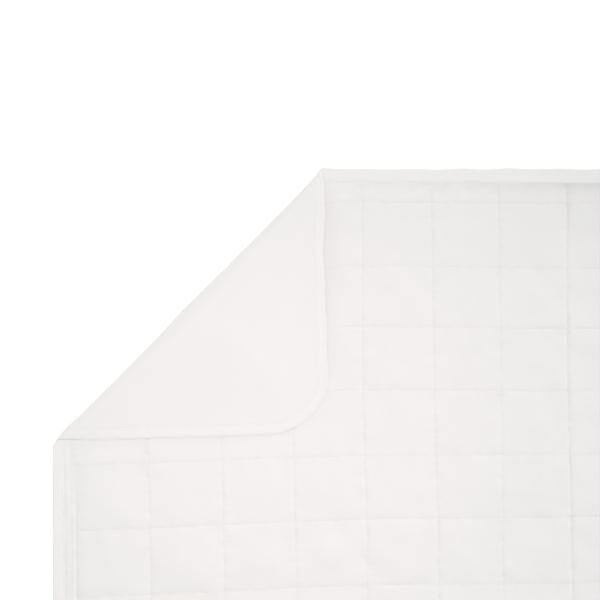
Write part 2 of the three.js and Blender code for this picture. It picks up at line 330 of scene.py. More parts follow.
# How the folded corner settles: thinner at the blanket's edge, flatter along the fold, and sunk
# into the squares at its rim. The rim droops only some way off the fold, where it is free to. The
# fold bulges or draws in at its two ends, and has one soft bump beside the near one.
EDGE_THINNING = {"share": 0.3, "full": 26.0, "none": 60.0}
EDGE_LOWERING = {"left": 2.65, "top": 1.2, "right": 0.0, "bottom": 0.0}
RIM_DROOP = {"left": 0.6, "top": 3.1, "right": 0.0, "bottom": 0.0}
EDGE_REACH = 200.0
RIM_FREE = {"left": 30.0, "top": 200.0}
RIM_FREE_CHANGE = {"start": -60.0, "end": 260.0}
FOLD_BULGE = 0.6
FOLD_PRESS = {"share": 0.32, "reach": 30.0}
RIM_PRESS = {"share": 0.13, "reach": 75.0}
FOLD_WAVE_REACH = 30.0
FOLD_ENDS = [
    {"along": -339.0, "bulge": -2.2, "reach": 7.0},
    {"along": 331.0, "bulge": 4.2, "reach": 14.0},
]
FOLD_BUMP = {"along": -312.0, "out": 3.4, "reach": 24.0}
NEAR_END = np.array(FOLD_POINT) + FOLD_ENDS[0]["along"] * ALONG_FOLD
NEAR_END_PRESS = {"lowering": 1.4, "reach": 40.0, "beside": 0.5}


def thin_edge(points):
    """Thins the blanket towards its edge, all layers alike."""
    x, y, z = points.T
    near_edge = step_between(depth_inside(x, y), EDGE_THINNING["none"], EDGE_THINNING["full"])
    return np.stack([x, y, z * (1 - EDGE_THINNING["share"] * near_edge)], 1)


def beside_rim(y, column):
    return np.interp(y, BESIDE_RIM["y"], BESIDE_RIM[column])


def near_end(x, y):
    """How near a place is to the near end of the fold, at the blanket's left edge, up to 1."""
    distance = np.hypot(x - NEAR_END[0], y - NEAR_END[1])
    return np.exp(-((distance / NEAR_END_PRESS["reach"]) ** 2))


def press(points):
    """Presses the front and the binding flat where the folded corner lies on them, and where the
    near end of the fold squeezes the edge."""
    x, y, z = points.T
    share = step_between(mirrored_depth(x, y), -beside_rim(y, "slope"), PRESSED_FROM)
    share = np.maximum(share, near_end(x, y) * blend(NEAR_END_PRESS["beside"], 1, share))
    above = np.maximum(z - FRONT_BOTTOM, 0)
    pressed = np.minimum(z, FRONT_BOTTOM) + above * blend(1, PRESSED_SHARE, share)
    return np.stack([x, y, pressed], 1)


def along_fold(x, y):
    return (x - FOLD_POINT[0]) * ALONG_FOLD[0] + (y - FOLD_POINT[1]) * ALONG_FOLD[1]


def rim_freedom(x, y):
    """How far from the fold the rim of the folded corner still stands up: most at its far end."""
    return blend(RIM_FREE["left"], RIM_FREE["top"], ramp(along_fold(x, y), RIM_FREE_CHANGE))


def fold_over(points):
    """Rolls points of the flat blanket round the fold and lays them back over it, where the rim
    of the folded corner droops onto the squares."""
    x, y, z = points.T
    distance = past_fold(x, y)
    angle = math.pi * np.clip(distance / FOLD_LENGTH, 0, 1)
    near_edge = 1 - smooth(depth_inside(x, y) / EDGE_REACH)
    centre = FOLD_CENTRE_HEIGHT - side_value(x, y, EDGE_LOWERING) * near_edge
    centre = centre - NEAR_END_PRESS["lowering"] * near_end(x, y)
    radius = centre - z
    overlap = np.maximum(distance - FOLD_LENGTH, 0)
    out = FOLD_BULGE * np.sin(angle) ** FOLD_SQUARENESS
    up = -np.sign(np.cos(angle)) * np.abs(np.cos(angle)) ** FOLD_SQUARENESS
    across = np.where(distance > 0, radius * out - overlap - distance, 0)
    height = np.where(distance > 0, centre + radius * up, z)
    droop = side_value(x, y, RIM_DROOP) * near_edge * smooth(overlap / 2 / rim_freedom(x, y))
    place = np.stack([x + across * TOWARDS_CORNER[0], y + across * TOWARDS_CORNER[1]], 1)
    return np.concatenate([place, (height - droop)[:, None]], 1)


def rim_press(x, y):
    """Share by which the layers are pressed together along the rim of the folded corner."""
    depth = mirrored_depth(x, y)
    reach = np.where(depth > 0, RIM_PRESS["reach"], beside_rim(y, "settling"))
    to_fold = np.maximum(-past_fold(x, y), 0)
    return RIM_PRESS["share"] * np.exp(-((depth / reach) ** 2)) * smooth(to_fold / rim_freedom(x, y))


def settle(points):
    """Lets the folded blanket settle. It moves all layers alike, so none goes through another."""
    x, y, z = points.T
    inward = FOLD_CENTRE_HEIGHT - past_fold(x, y)
    near_fold = np.exp(-((inward / FOLD_PRESS["reach"]) ** 2))
    share = 1 - FOLD_PRESS["share"] * near_fold - rim_press(x, y) + bumps(LAYER_WAVES, x, y)
    along = along_fold(x, y)
    shift = bumps(FOLD_WAVES, along, 0)
    for end in FOLD_ENDS:
        from_end = np.abs(along - end["along"])
        shift = shift + end["bulge"] * np.exp(-from_end / end["reach"])
    from_bump = (along - FOLD_BUMP["along"]) / FOLD_BUMP["reach"]
    shift = shift + FOLD_BUMP["out"] * np.exp(-(from_bump**2))
    shift = shift * np.exp(-((inward / FOLD_WAVE_REACH) ** 2))
    return np.stack([x + shift * TOWARDS_CORNER[0], y + shift * TOWARDS_CORNER[1], z * share], 1)


def in_frame(points):
    """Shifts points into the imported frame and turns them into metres."""
    low, high = cad_box
    shift = np.array([high.x / MM - HALF_WIDTH, low.y / MM + HALF_LENGTH, 0])
    return (points + shift) * MM


def fold_and_settle(places):
    return in_frame(settle(fold_over(thin_edge(press(places)))))


def lay_out(points):
    return fold_and_settle(stray(points))


def line_gap(place, half_span, pitch):
    """Distance to the nearest of the even sewn lines from -half_span to half_span."""
    inside = half_span - np.abs(place)
    within = np.mod(place + half_span, pitch)
    return np.where(inside > 0, np.minimum(within, pitch - within), -inside)


def rise(gap, width):
    return 1 - np.exp(-np.maximum(gap, 0) / width)


def shoulder(place, half_span, pitch, sizes):
    """Height that the cloth gains past one sewn line and loses again before the next one."""
    within = np.mod(place + half_span, pitch)
    from_line = np.where(place > half_span, place - half_span, within)
    to_line = np.where(place < -half_span, -half_span - place, pitch - within)
    from_line = np.where(place < -half_span, FAR_OFF, from_line)
    to_line = np.where(place > half_span, FAR_OFF, to_line)
    return sizes["height"] * rise(from_line, sizes["after"]) * rise(to_line, sizes["before"])


def seam_lift(x, y):
    """How far the front and the binding are pulled up along the binding's inner edge."""
    from_seam = np.abs(depth_inside(x, y) - side_value(x, y, BINDING_OVER))
    height = np.interp(x, SEAM_LIFT["x"], SEAM_LIFT["height"])
    width = np.interp(x, SEAM_LIFT["x"], SEAM_LIFT["width"])
    side = SIDE_LIFT["height"] * np.exp(-from_seam / SIDE_LIFT["width"])
    far = height * np.exp(-from_seam / width)
    return blend(side, far, side_value(x, y, ON_FAR_SIDE)) * (1 - ramp(past_fold(x, y), LIFT_STOPS))


def puckers(gap, place, across, row):
    """Small pulls in the cloth beside a sewn line, fading away from it."""
    fade = rise(gap, PUCKER_FADE["rise"]) * np.exp(-np.maximum(gap, 0) / PUCKER_FADE["reach"])
    change = unevenness(place, across, PUCKER_STRENGTH["size"], row["seed"] + 1)
    strength = PUCKER_STRENGTH["mean"] + PUCKER_STRENGTH["most"] * change
    return bumps([row], place, across) * strength * fade


def wrinkles(x, y):
    """Height of the wrinkles in the table, each fading out towards its ends."""
    total = np.zeros(np.broadcast(x, y).shape)
    for start, end, width, height in WRINKLES:
        run = np.subtract(end, start)
        length = math.hypot(*run)
        along = ((x - start[0]) * run[0] + (y - start[1]) * run[1]) / length
        off = ((y - start[1]) * run[0] - (x - start[0]) * run[1]) / length
        beyond = np.maximum(np.abs(along - length / 2) - length / 4, 0) / (length / 4)
        total += height * np.exp(-((off / width) ** 2) - beyond**2)
    return total


def crown_share(x, y):
    """How full each square is: nearly flat at the far end, fuller towards the near one."""
    row = np.clip(np.floor((QUILT_HALF_LENGTH - y) / ROW_PITCH), -1, ROWS)
    column = np.clip(np.floor((x + QUILT_HALF_WIDTH) / COLUMN_PITCH), -1, COLUMNS)
    own = np.random.default_rng(11).uniform(-CROWN_CHANGE, CROWN_CHANGE, (ROWS + 2, COLUMNS + 2))
    fullness = np.interp(row, CROWN_BY_ROW["row"], CROWN_BY_ROW["share"])
    return fullness + own[row.astype(int) + 1, column.astype(int) + 1]


def line_strength(place, line, table, position, seed):
    """How deep a sewn line is pulled in along its way: here and there it hardly shows."""
    depths = np.array(table["depth"])
    before = np.floor(position).astype(int)
    share = smooth(position - before)
    depth = blend(depths[before % len(depths)], depths[(before + 1) % len(depths)], share)
    change = LINE_STRENGTH["most"] * unevenness(place, line, LINE_STRENGTH["size"], seed)
    return depth * (LINE_STRENGTH["mean"] + change)


def front_relief(x, y):
    """Height of the front's cloth above its sewn lines."""
    across = line_gap(x, QUILT_HALF_WIDTH, COLUMN_PITCH)
    along = line_gap(y, QUILT_HALF_LENGTH, ROW_PITCH)
    rim = np.maximum(depth_inside(x, y) - side_value(x, y, BINDING_OVER), 0)

    column = (x + QUILT_HALF_WIDTH) / COLUMN_PITCH
    row = (QUILT_HALF_LENGTH - y) / ROW_PITCH
    column_depth = line_strength(y, x, COLUMN_DRIFT, column, 81)
    row_depth = line_strength(x, y, ROW_DRIFT, row, 83)
    column_crease = rise(across, COLUMN_CREASE["width"]) * column_depth
    row_crease = rise(along, ROW_CREASE["width"]) * row_depth
    creases = COLUMN_CREASE["height"] * column_crease + ROW_CREASE["height"] * row_crease
    shoulders = shoulder(x, QUILT_HALF_WIDTH, COLUMN_PITCH, COLUMN_SHOULDER)
    shoulders = shoulders + shoulder(-y, QUILT_HALF_LENGTH, ROW_PITCH, ROW_SHOULDER)
    inside = (np.abs(x) < QUILT_HALF_WIDTH) & (np.abs(y) < QUILT_HALF_LENGTH)
    round_x = np.sin(math.pi * np.mod(column, 1))
    round_y = np.sin(math.pi * np.mod(row, 1) ** CROWN_LEAN)
    crown = np.where(inside, round_x * round_y, 0) * crown_share(x, y)

    lumps = bumps(LUMPS, x, y) * rise(np.minimum(across, along), LUMP_RISE)
    pulls = puckers(across, y, x, PUCKERS["column"]) + puckers(along, x, y, PUCKERS["row"])
    end_pulls, side_pulls = puckers(rim, x, y, PUCKERS["end"]), puckers(rim, y, x, PUCKERS["side"])
    rim_pulls = np.where(side_value(x, y, ON_ENDS) > 0.5, end_pulls, side_pulls)
    own = lumps + pulls + rim_pulls + wrinkles(x, y)

    height = np.maximum(creases + shoulders + CROWN_HEIGHT * crown + own, LOWEST_RELIEF)
    return np.where(rim > 0, RIM_START, 0) + height * rise(rim, RIM_RISE)


def front_top(x, y):
    """Height of the front's upper side, before the folded corner presses on it."""
    height = SEAM_TOP + front_relief(x, y) + seam_lift(x, y)
    near_rim = ramp(mirrored_depth(x, y), RIM_APPROACH)
    return blend(height, np.minimum(height, BESIDE_RIM_TOP), near_rim)


def backing_under(x, y):
    """Height of the plush side above the floor: it dips in beside the binding's lower arm."""
    from_arm = np.maximum(depth_inside(x, y) - side_value(x, y, BINDING_UNDER), 0)
    dip = ARM_DIP["depth"] * np.exp(-from_arm / ARM_DIP["reach"])
    return dip * (1 + bumps(ARM_DIP_CHANGE, x, y)) + PLUSH_LEVEL + bumps(PLUSH_BUMPS, x, y)


# Offsets of the mesh lines of one square from a sewn line, closer where the crease is
COLUMN_OFFSETS = [0, 1.8, 4, 7, 11.5, 17, 23.5, 30, 36.5, 43.2, 50, 56.7, 63.5]
ROW_OFFSETS = [0, 1.5, 3.5, 6.5, 11, 17, 23.5, 30, 36.7, 43.5, 50.3, 57.15]


def square_lines(count, pitch, offsets):
    """Places of the mesh lines over all squares, and the number of each one's offset."""
    half = count * pitch / 2
    numbers = list(range(len(offsets))) + list(range(len(offsets) - 2, 0, -1))
    places = [*offsets, *(pitch - offset for offset in offsets[-2:0:-1])]
    lines = [(square * pitch - half + place) for square in range(count) for place in places]
    return np.array(lines + [half]), np.array(numbers * count + [0])


def loop_of(columns, rows):
    """Grid places round the outside of a grid of columns by rows, anticlockwise from low left."""
    near = [(column, 0) for column in range(columns - 1)]
    right = [(columns - 1, row) for row in range(rows - 1)]
    far = [(column, rows - 1) for column in range(columns - 1, 0, -1)]
    left = [(0, row) for row in range(rows - 1, 0, -1)]
    return np.array(near + right + far + left)


def rim_feet(x, y, half_width, half_length):
    """Points of the blanket's edge, and the ways in from them, that lie opposite the given
    points on the outside of a smaller box."""
    past_x, past_y = past_straight(x, y)
    middle = math.atan2(half_length - STRAIGHT_Y, half_width - STRAIGHT_X)
    share_x = np.clip(past_x / (half_width - STRAIGHT_X), 0, 1)
    share_y = np.clip(past_y / (half_length - STRAIGHT_Y), 0, 1)
    on_end = np.isclose(np.abs(y), half_length)
    angle = np.where(on_end, blend(math.pi / 2, middle, share_x), middle * share_y)
    side = np.stack([np.where(x < 0, -1, 1), np.where(y < 0, -1, 1)], 1)
    out = np.stack([np.cos(angle), np.sin(angle)], 1) * side
    straight = np.stack([np.minimum(np.abs(x), STRAIGHT_X), np.minimum(np.abs(y), STRAIGHT_Y)], 1)
    return straight * side + CORNER_RADIUS * out, -out


def outline_of(x_lines, y_lines):
    """The loop round a grid of mesh lines, the places x and y on it, and the points of the
    blanket's edge opposite them with the ways in from there."""
    loop = loop_of(len(x_lines), len(y_lines))
    places = np.stack([x_lines[loop[:, 0]], y_lines[loop[:, 1]]])
    feet, ways = rim_feet(*places, x_lines[-1], y_lines[-1])
    return loop, places, feet, ways


def inset_ring(feet, ways, inset):
    """Places x and y of a ring of points, moved in from the blanket's edge."""
    return (feet + ways * np.broadcast_to(inset, len(feet))[:, None]).T


class Flat:
    """A cloth piece in the making: points of the flat blanket, and faces as loops of them."""

    def __init__(self):
        self.points = []
        self.count = 0
        self.faces = []

    def add(self, x, y, z):
        x, y, z = np.broadcast_arrays(x, y, z)
        first = self.count
        self.points.append(np.stack([x.ravel(), y.ravel(), z.ravel()], 1))
        self.count += x.size
        return first + np.arange(x.size).reshape(x.shape)

    def add_grid(self, numbers, upwards=True):
        a, b = numbers[:-1, :-1], numbers[1:, :-1]
        c, d = numbers[1:, 1:], numbers[:-1, 1:]
        corners = [a, b, c, d] if upwards else [a, d, c, b]
        self.faces += np.stack([corner.ravel() for corner in corners], 1).tolist()

    def add_band(self, outer, inner, upwards=True):
        """Faces between two rings that run anticlockwise, the second inside the first."""
        corners = [outer, np.roll(outer, -1), np.roll(inner, -1), inner]
        faces = np.stack(corners if upwards else corners[::-1], 1)
        self.faces += faces.tolist()

    def all_points(self):
        return np.concatenate(self.points)


SEAM_PULL_REACH = {"line": 8.0, "binding": 9.0}
LEVEL_PULL = 0.6

# Painted shade on the cloth along the fold, below the far seam, and beside the folded corner's rim
PAINTED_FOLD_SHADE = {"along": [-260, 0, 130, 300], "weight": [0.2, 0.38, 0.4, 0.3], "width": [12, 20, 12, 7]}
PAINTED_FOLD_SHADE_EDGE = {"start": 0.6, "end": 1.4}
PAINTED_FOLD_SHADE_CHANGE = [{"most": 0.35, "size": 60, "seed": 33}]
PAINTED_SEAM_SHADE = {"steep": 9.0, "wide": 75.0, "on_binding": 0.35}
PAINTED_SEAM_SHADE_STARTS = {"start": -9.0, "end": -3.0}
PAINTED_RIM_SHADE = {"beside": 0.55, "reach": 6.0, "edge": 0.4, "edge_reach": 1.6}
PAINTED_RIM_SHADE_STOPS = {"start": 480.0, "end": 640.0}
BEFORE_FOLD = {"start": -20.0, "end": 0.0}
ON_FOLDED_CORNER = {"start": 10.0, "end": 60.0}


def seam_pull(places):
    """How near points are to an upright and to a level seam, from 0, far off, to 1, beside it."""
    x, y, _ = places.T
    across = line_gap(x, QUILT_HALF_WIDTH, COLUMN_PITCH)
    along = line_gap(y, QUILT_HALF_LENGTH, ROW_PITCH)
    rim = np.abs(depth_inside(x, y) - side_value(x, y, BINDING_OVER))
    on_end = side_value(x, y, ON_ENDS)
    by_line, by_binding = SEAM_PULL_REACH["line"], SEAM_PULL_REACH["binding"]
    upright = np.maximum(np.exp(-across / by_line), (1 - on_end) * np.exp(-rim / by_binding))
    level = np.maximum(LEVEL_PULL * np.exp(-along / by_line), on_end * np.exp(-rim / by_binding))
    return upright, level


def rim_painted_shade(x, y):
    """Painted shade where the rim of the folded corner shades the near squares, and along its own
    edge.
    """
    outside = np.maximum(-mirrored_depth(x, y), 0)
    beside = PAINTED_RIM_SHADE["beside"] * np.exp(-outside / PAINTED_RIM_SHADE["reach"])
    beside = beside * (1 - ramp(y, PAINTED_RIM_SHADE_STOPS)) * (1 - ramp(past_fold(x, y), BEFORE_FOLD))
    edge = PAINTED_RIM_SHADE["edge"] * np.exp(-np.maximum(depth_inside(x, y), 0) / PAINTED_RIM_SHADE["edge_reach"])
    edge = edge * ramp(past_fold(x, y), ON_FOLDED_CORNER)
    return (beside + edge) * (1 - near_end(x, y))


def painted_shade_weight(x, y):
    """Weight of painted shade where the cloth is turned away: at the fold, the far seam and the rim.
    """
    from_fold = np.abs(past_fold(x, y) - FOLD_LENGTH / 2)
    along = along_fold(x, y)
    width = np.interp(along, PAINTED_FOLD_SHADE["along"], PAINTED_FOLD_SHADE["width"])
    width = width * (1 + bumps(PAINTED_FOLD_SHADE_CHANGE, along, 0))
    weight = np.interp(along, PAINTED_FOLD_SHADE["along"], PAINTED_FOLD_SHADE["weight"])
    fold = weight * (1 - ramp(from_fold / width, PAINTED_FOLD_SHADE_EDGE))
    inside_seam = depth_inside(x, y) - side_value(x, y, BINDING_OVER)
    from_seam = np.maximum(inside_seam, 0)
    fading = (np.exp(-from_seam / PAINTED_SEAM_SHADE["steep"]) + np.exp(-from_seam / PAINTED_SEAM_SHADE["wide"])) / 2
    seam = np.interp(x, SEAM_LIFT["x"], SEAM_LIFT["painted_shade_weight"]) * fading
    seam = seam * blend(PAINTED_SEAM_SHADE["on_binding"], 1, ramp(inside_seam, PAINTED_SEAM_SHADE_STARTS))
    seam = seam * side_value(x, y, ON_FAR_SIDE) * (1 - ramp(past_fold(x, y), LIFT_STOPS))
    return np.maximum(fold, seam) + rim_painted_shade(x, y)


# Cuts along the fold and the rim: how far off a cut is looked for, and how exactly it is made
CUT_REACH = {"fold": 60.0, "past_chord": 8.0, "beside_chord": 16.0, "above": 0.1}
CUT_EXACTNESS = {"touching": 0.01, "merging": 0.02}
SHARP_ANGLE = math.radians(70)


def bisect(mesh, place, normal, wanted):
    """Cuts the faces of a flat mesh that a plane goes through and that are wanted."""
    way = Vector((*normal, 0))
    start = Vector((*place, 0))
    near = []
    for face in mesh.faces:
        if wanted(face.verts[0].co):
            sides = [(vert.co - start).dot(way) for vert in face.verts]
            if min(sides) < CUT_EXACTNESS["touching"] and max(sides) > -CUT_EXACTNESS["touching"]:
                near.append(face)
    edges = {edge for face in near for edge in face.edges}
    verts = {vert for face in near for vert in face.verts}
    geometry = [*near, *edges, *verts]
    exactness = CUT_EXACTNESS["merging"]
    bmesh.ops.bisect_plane(mesh, geom=geometry, dist=exactness, plane_co=start, plane_no=way)


def near_the_fold(point):
    return abs(past_fold(*point.xy)) < CUT_REACH["fold"]


def cut_along_fold(mesh):
    """Cuts a flat mesh into narrow strips where it will bend."""
    start = np.array(FOLD_POINT) - TOWARDS_CORNER * (FOLD_LENGTH / 2)
    for step in range(FOLD_CUTS + 1):
        place = start + TOWARDS_CORNER * (FOLD_LENGTH * step / FOLD_CUTS)
        bisect(mesh, place, TOWARDS_CORNER, near_the_fold)


RIM_CUTS = (-0.8, 2.2, 5.0, 9.0)
RIM_CHORDS = 6


def folded_rim(inset):
    """Places on the blanket where the rim of the folded corner comes to lie, moved in a little."""
    angles = np.linspace(math.pi, math.pi / 2, RIM_CHORDS + 1)
    radius = CORNER_RADIUS - inset
    arc_x = radius * np.cos(angles) - STRAIGHT_X
    arc_y = radius * np.sin(angles) + STRAIGHT_Y
    reach = math.tan(FOLD_ANGLE)
    left_end = FOLD_POINT[1] - (HALF_WIDTH + FOLD_POINT[0]) * reach
    top_end = FOLD_POINT[0] + (HALF_LENGTH - FOLD_POINT[1]) / reach
    x = np.concatenate([[inset - HALF_WIDTH], arc_x, [top_end]])
    y = np.concatenate([[left_end], arc_y, [HALF_LENGTH - inset]])
    turned = FOLD_LENGTH - 2 * past_fold(x, y)
    return np.stack([x + turned * TOWARDS_CORNER[0], y + turned * TOWARDS_CORNER[1]], 1)


def cut_along_rim(mesh):
    """Cuts the upper side of the front where the rim of the folded corner presses on it."""
    for inset in RIM_CUTS:
        places = folded_rim(inset)
        for start, end in zip(places[:-1], places[1:]):
            run = end - start
            length = math.hypot(*run)
            way = run / length

            def wanted(point):
                along = (point.x - start[0]) * way[0] + (point.y - start[1]) * way[1]
                off = (point.y - start[1]) * way[0] - (point.x - start[0]) * way[1]
                beside = abs(along - length / 2) < length / 2 + CUT_REACH["past_chord"]
                on_top = point.z > FRONT_BOTTOM + CUT_REACH["above"]
                return on_top and beside and abs(off) < CUT_REACH["beside_chord"]

            bisect(mesh, start, np.array([-way[1], way[0]]), wanted)


def store(mesh, name, values):
    """Keeps three numbers at each point of a mesh."""
    attribute = mesh.attributes.new(name, "FLOAT_VECTOR", "POINT")
    attribute.data.foreach_set("vector", values.ravel().astype(np.float32))


def read_points(data, key):
    """Reads the three numbers that are kept at each point of a mesh."""
    values = np.zeros(len(data) * 3)
    data.foreach_get(key, values)
    return values.reshape(-1, 3)


def add_object(name, data):
    made = bpy.data.objects.new(name, data)
    bpy.context.scene.collection.objects.link(made)
    return made


def cloth_mesh(name, flat, under_rim=False):
    """Turns a flat piece into a laid out mesh object. Its points keep their place on the flat
    blanket in one attribute, which the weaves are drawn by, and three weights in another: for
    upright seams, for level seams and for painted shade."""
    mesh = bpy.data.meshes.new(name)
    sewn = flat.all_points()
    mesh.from_pydata(stray(sewn).tolist(), [], flat.faces)
    store(mesh, "sewn_place", sewn)
    work = bmesh.new()
    work.from_mesh(mesh)
    cut_along_fold(work)
    if under_rim:
        cut_along_rim(work)
    big = [face for face in work.faces if len(face.verts) > 4]
    bmesh.ops.triangulate(work, faces=big)
    work.to_mesh(mesh)
    work.free()

    places = read_points(mesh.vertices, "co")
    upright, level = seam_pull(read_points(mesh.attributes["sewn_place"].data, "vector"))
    mesh.attributes.remove(mesh.attributes["sewn_place"])
    store(mesh, "cloth_place", places * MM)
    # Painted shade, kept as the third weight, darkens the cloth's colour
    painted_shade = painted_shade_weight(places[:, 0], places[:, 1])
    store(mesh, "seam_and_painted_shade_weights", np.stack([upright, level, painted_shade], 1))
    laid = fold_and_settle(places)
    mesh.vertices.foreach_set("co", laid.ravel().astype(np.float32))
    mesh.update()
    mesh.shade_smooth()
    mesh.set_sharp_from_angle(angle=SHARP_ANGLE)
    return add_object(name, mesh)


def coarse_numbers(lines, offset_numbers, kept_in_corner, in_corner):
    """Numbers of the mesh lines that a hidden side keeps: more in the corner that folds."""
    kept_elsewhere = (kept_in_corner[0], kept_in_corner[-1])
    keep = [
        place
        for place, number in enumerate(offset_numbers)
        if number in (kept_in_corner if in_corner(lines[place]) else kept_elsewhere)
    ]
    return np.array(keep)


# Rings of mesh points from the squares to the seam, as shares of the way, and how far in from the
# blanket's edge the panels' edges go on inside the binding
FRONT_RINGS = (0.06, 0.15, 0.28, 0.44, 0.6, 0.75, 0.87, 0.95, 0.999)
BACKING_RINGS = (0.35, 0.6, 0.76, 0.86, 0.93, 0.97, 1.0)
FRONT_TUCK = {"past_seam": 0.9, "halfway": 13.0}
BACKING_TUCK = {"before_seam": 0.3, "past_seam": 0.8, "halfway": 12.0}
FINE_CORNER = {"right": -100.0, "near": 400.0}
KEPT_COLUMNS = (0, 5, 9, 12)
KEPT_ROWS = (0, 5, 8, 11)


def quilted_front():
    """The quilted panel: its squares and margins above, a coarse flat side below."""
    x_lines, x_numbers = square_lines(COLUMNS, COLUMN_PITCH, COLUMN_OFFSETS)
    y_lines, y_numbers = square_lines(ROWS, ROW_PITCH, ROW_OFFSETS)
    flat = Flat()
    grid_x, grid_y = np.meshgrid(x_lines, y_lines, indexing="ij")
    top = flat.add(grid_x, grid_y, front_top(grid_x, grid_y))
    flat.add_grid(top)

    loop, start, feet, ways = outline_of(x_lines, y_lines)
    over = side_value(*feet.T, BINDING_OVER)
    seam = inset_ring(feet, ways, over)
    inner = top[loop[:, 0], loop[:, 1]]
    for share in FRONT_RINGS:
        place = blend(start, seam, share)
        ring = flat.add(*place, front_top(*place))
        flat.add_band(ring, inner)
        inner = ring
    for inset in (over - FRONT_TUCK["past_seam"], FRONT_TUCK["halfway"], PANEL_INSET):
        place = inset_ring(feet, ways, inset)
        ring = flat.add(*place, SEAM_TOP + seam_lift(*place))
        flat.add_band(ring, inner)
        inner = ring

    lower = flat.add(*inset_ring(feet, ways, PANEL_INSET), FRONT_BOTTOM)
    flat.add_band(lower, inner)
    kept_x = coarse_numbers(x_lines, x_numbers, KEPT_COLUMNS, lambda x: x < FINE_CORNER["right"])
    kept_y = coarse_numbers(y_lines, y_numbers, KEPT_ROWS, lambda y: y > FINE_CORNER["near"])
    coarse_x, coarse_y = np.meshgrid(x_lines[kept_x], y_lines[kept_y], indexing="ij")
    bottom = flat.add(coarse_x, coarse_y, FRONT_BOTTOM)
    flat.add_grid(bottom, upwards=False)

    coarse_loop = loop_of(len(kept_x), len(kept_y))
    places = {(int(column), int(row)): number for number, (column, row) in enumerate(loop)}
    stops = [places[(int(kept_x[column]), int(kept_y[row]))] for column, row in coarse_loop]
    numbers = bottom[coarse_loop[:, 0], coarse_loop[:, 1]]
    for place, stop in enumerate(stops):
        following = (place + 1) % len(stops)
        end = stops[following] or len(loop)
        outer = [int(lower[number % len(loop)]) for number in range(stop, end + 1)]
        flat.faces.append([int(numbers[place]), int(numbers[following])] + outer[::-1])
    return cloth_mesh("quilted_front_cloth", flat, under_rim=True)


BACKING_HALF_WIDTH = 564.0
BACKING_HALF_LENGTH = 868.0
BACKING_FINE_FROM = 420.0
BACKING_PITCH = {"fine": 8.0, "coarse": 28.0}


def backing_lines(half, fine_from, fine_to):
    """Mesh lines from -half to half, close together between two places."""
    fine, coarse = BACKING_PITCH["fine"], BACKING_PITCH["coarse"]
    fine_lines = np.linspace(fine_from, fine_to, round((fine_to - fine_from) / fine) + 1)
    before = np.linspace(-half, fine_from, max(round((fine_from + half) / coarse), 0) + 1)[:-1]
    after = np.linspace(fine_to, half, max(round((half - fine_to) / coarse), 0) + 1)[1:]
    return np.concatenate([before, fine_lines, after])


def plain_backing():
    """The plush sheet: finer in the corner that is folded over, where its face shows."""
    x_lines = backing_lines(BACKING_HALF_WIDTH, -BACKING_HALF_WIDTH, FINE_CORNER["right"])
    y_lines = backing_lines(BACKING_HALF_LENGTH, BACKING_FINE_FROM, BACKING_HALF_LENGTH)
    flat = Flat()
    grid_x, grid_y = np.meshgrid(x_lines, y_lines, indexing="ij")
    sole = flat.add(grid_x, grid_y, backing_under(grid_x, grid_y))
    flat.add_grid(sole, upwards=False)
    upper = flat.add(grid_x, grid_y, BACKING_TOP)
    flat.add_grid(upper)

    loop, start, feet, ways = outline_of(x_lines, y_lines)
    under = side_value(*feet.T, BINDING_UNDER)
    arm_edge = inset_ring(feet, ways, under + BACKING_TUCK["before_seam"])
    soft = [blend(start, arm_edge, share) for share in BACKING_RINGS]
    insets = (under - BACKING_TUCK["past_seam"], BACKING_TUCK["halfway"], PANEL_INSET)
    tucked = [inset_ring(feet, ways, inset) for inset in insets]
    rings = [(place, backing_under(*place)) for place in soft]
    rings += [(place, REBATE_HEIGHT) for place in tucked]
    inner_low, inner_high = sole[loop[:, 0], loop[:, 1]], upper[loop[:, 0], loop[:, 1]]
    for place, height in rings:
        low = flat.add(*place, height)
        high = flat.add(*place, BACKING_TOP)
        flat.add_band(low, inner_low, upwards=False)
        flat.add_band(high, inner_high)
        inner_low, inner_high = low, high
    flat.add_band(inner_low, inner_high)
    return cloth_mesh("plain_backing_plush", flat)


# The binding: its stations, its stitching, its nose at the edge and its own unevenness. A station
# lies on a short side once its way in has turned past TURN_TO_END.
STATION_PITCH = 3.2
STITCH_FROM_EDGE = 2.6
NOSE_HEIGHT = 2.8
FOLDED_NOSE = {"height": 1.6, "front_wedge": 6.0, "back_wedge": 2.8}
GROOVE_HEIGHT = {"over": 5.25, "under": 0.22}
BINDING_PUCKERS = {"most": 0.35, "size": (6.5, 14), "seed": 71}
BINDING_PUCKER_REACH = 4.0
BINDING_WAVES = {"most": 0.25, "size": (30, 12), "seed": 73}
UNDERSIDE_SHARE = 0.4
TURN_TO_END = 0.7


def rim_stations(pitch):
    """Points all round the blanket's edge, anticlockwise, and the ways in from them."""
    arc = CORNER_RADIUS * math.pi / 2
    runs = [
        ((HALF_WIDTH, -STRAIGHT_Y), (0, 1), 2 * STRAIGHT_Y, (STRAIGHT_X, STRAIGHT_Y), 0),
        ((STRAIGHT_X, HALF_LENGTH), (-1, 0), 2 * STRAIGHT_X, (-STRAIGHT_X, STRAIGHT_Y), 1),
        ((-HALF_WIDTH, STRAIGHT_Y), (0, -1), 2 * STRAIGHT_Y, (-STRAIGHT_X, -STRAIGHT_Y), 2),
        ((-STRAIGHT_X, -HALF_LENGTH), (1, 0), 2 * STRAIGHT_X, (STRAIGHT_X, -STRAIGHT_Y), 3),
    ]
    feet, ways = [], []
    for start, way, length, centre, quarter in runs:
        shares = np.arange(0, 1, 1 / round(length / pitch))[:, None]
        feet.append(np.array(start) + shares * length * np.array(way))
        inward = np.array([-way[1], way[0]], float)
        ways.append(np.repeat(inward[None], len(shares), 0))
        shares = np.arange(0, 1, 1 / round(arc / pitch))
        angle = (quarter + shares) * math.pi / 2
        out = np.stack([np.cos(angle), np.sin(angle)], 1)
        feet.append(np.array(centre) + CORNER_RADIUS * out)
        ways.append(-out)
    return np.concatenate(feet), np.concatenate(ways)


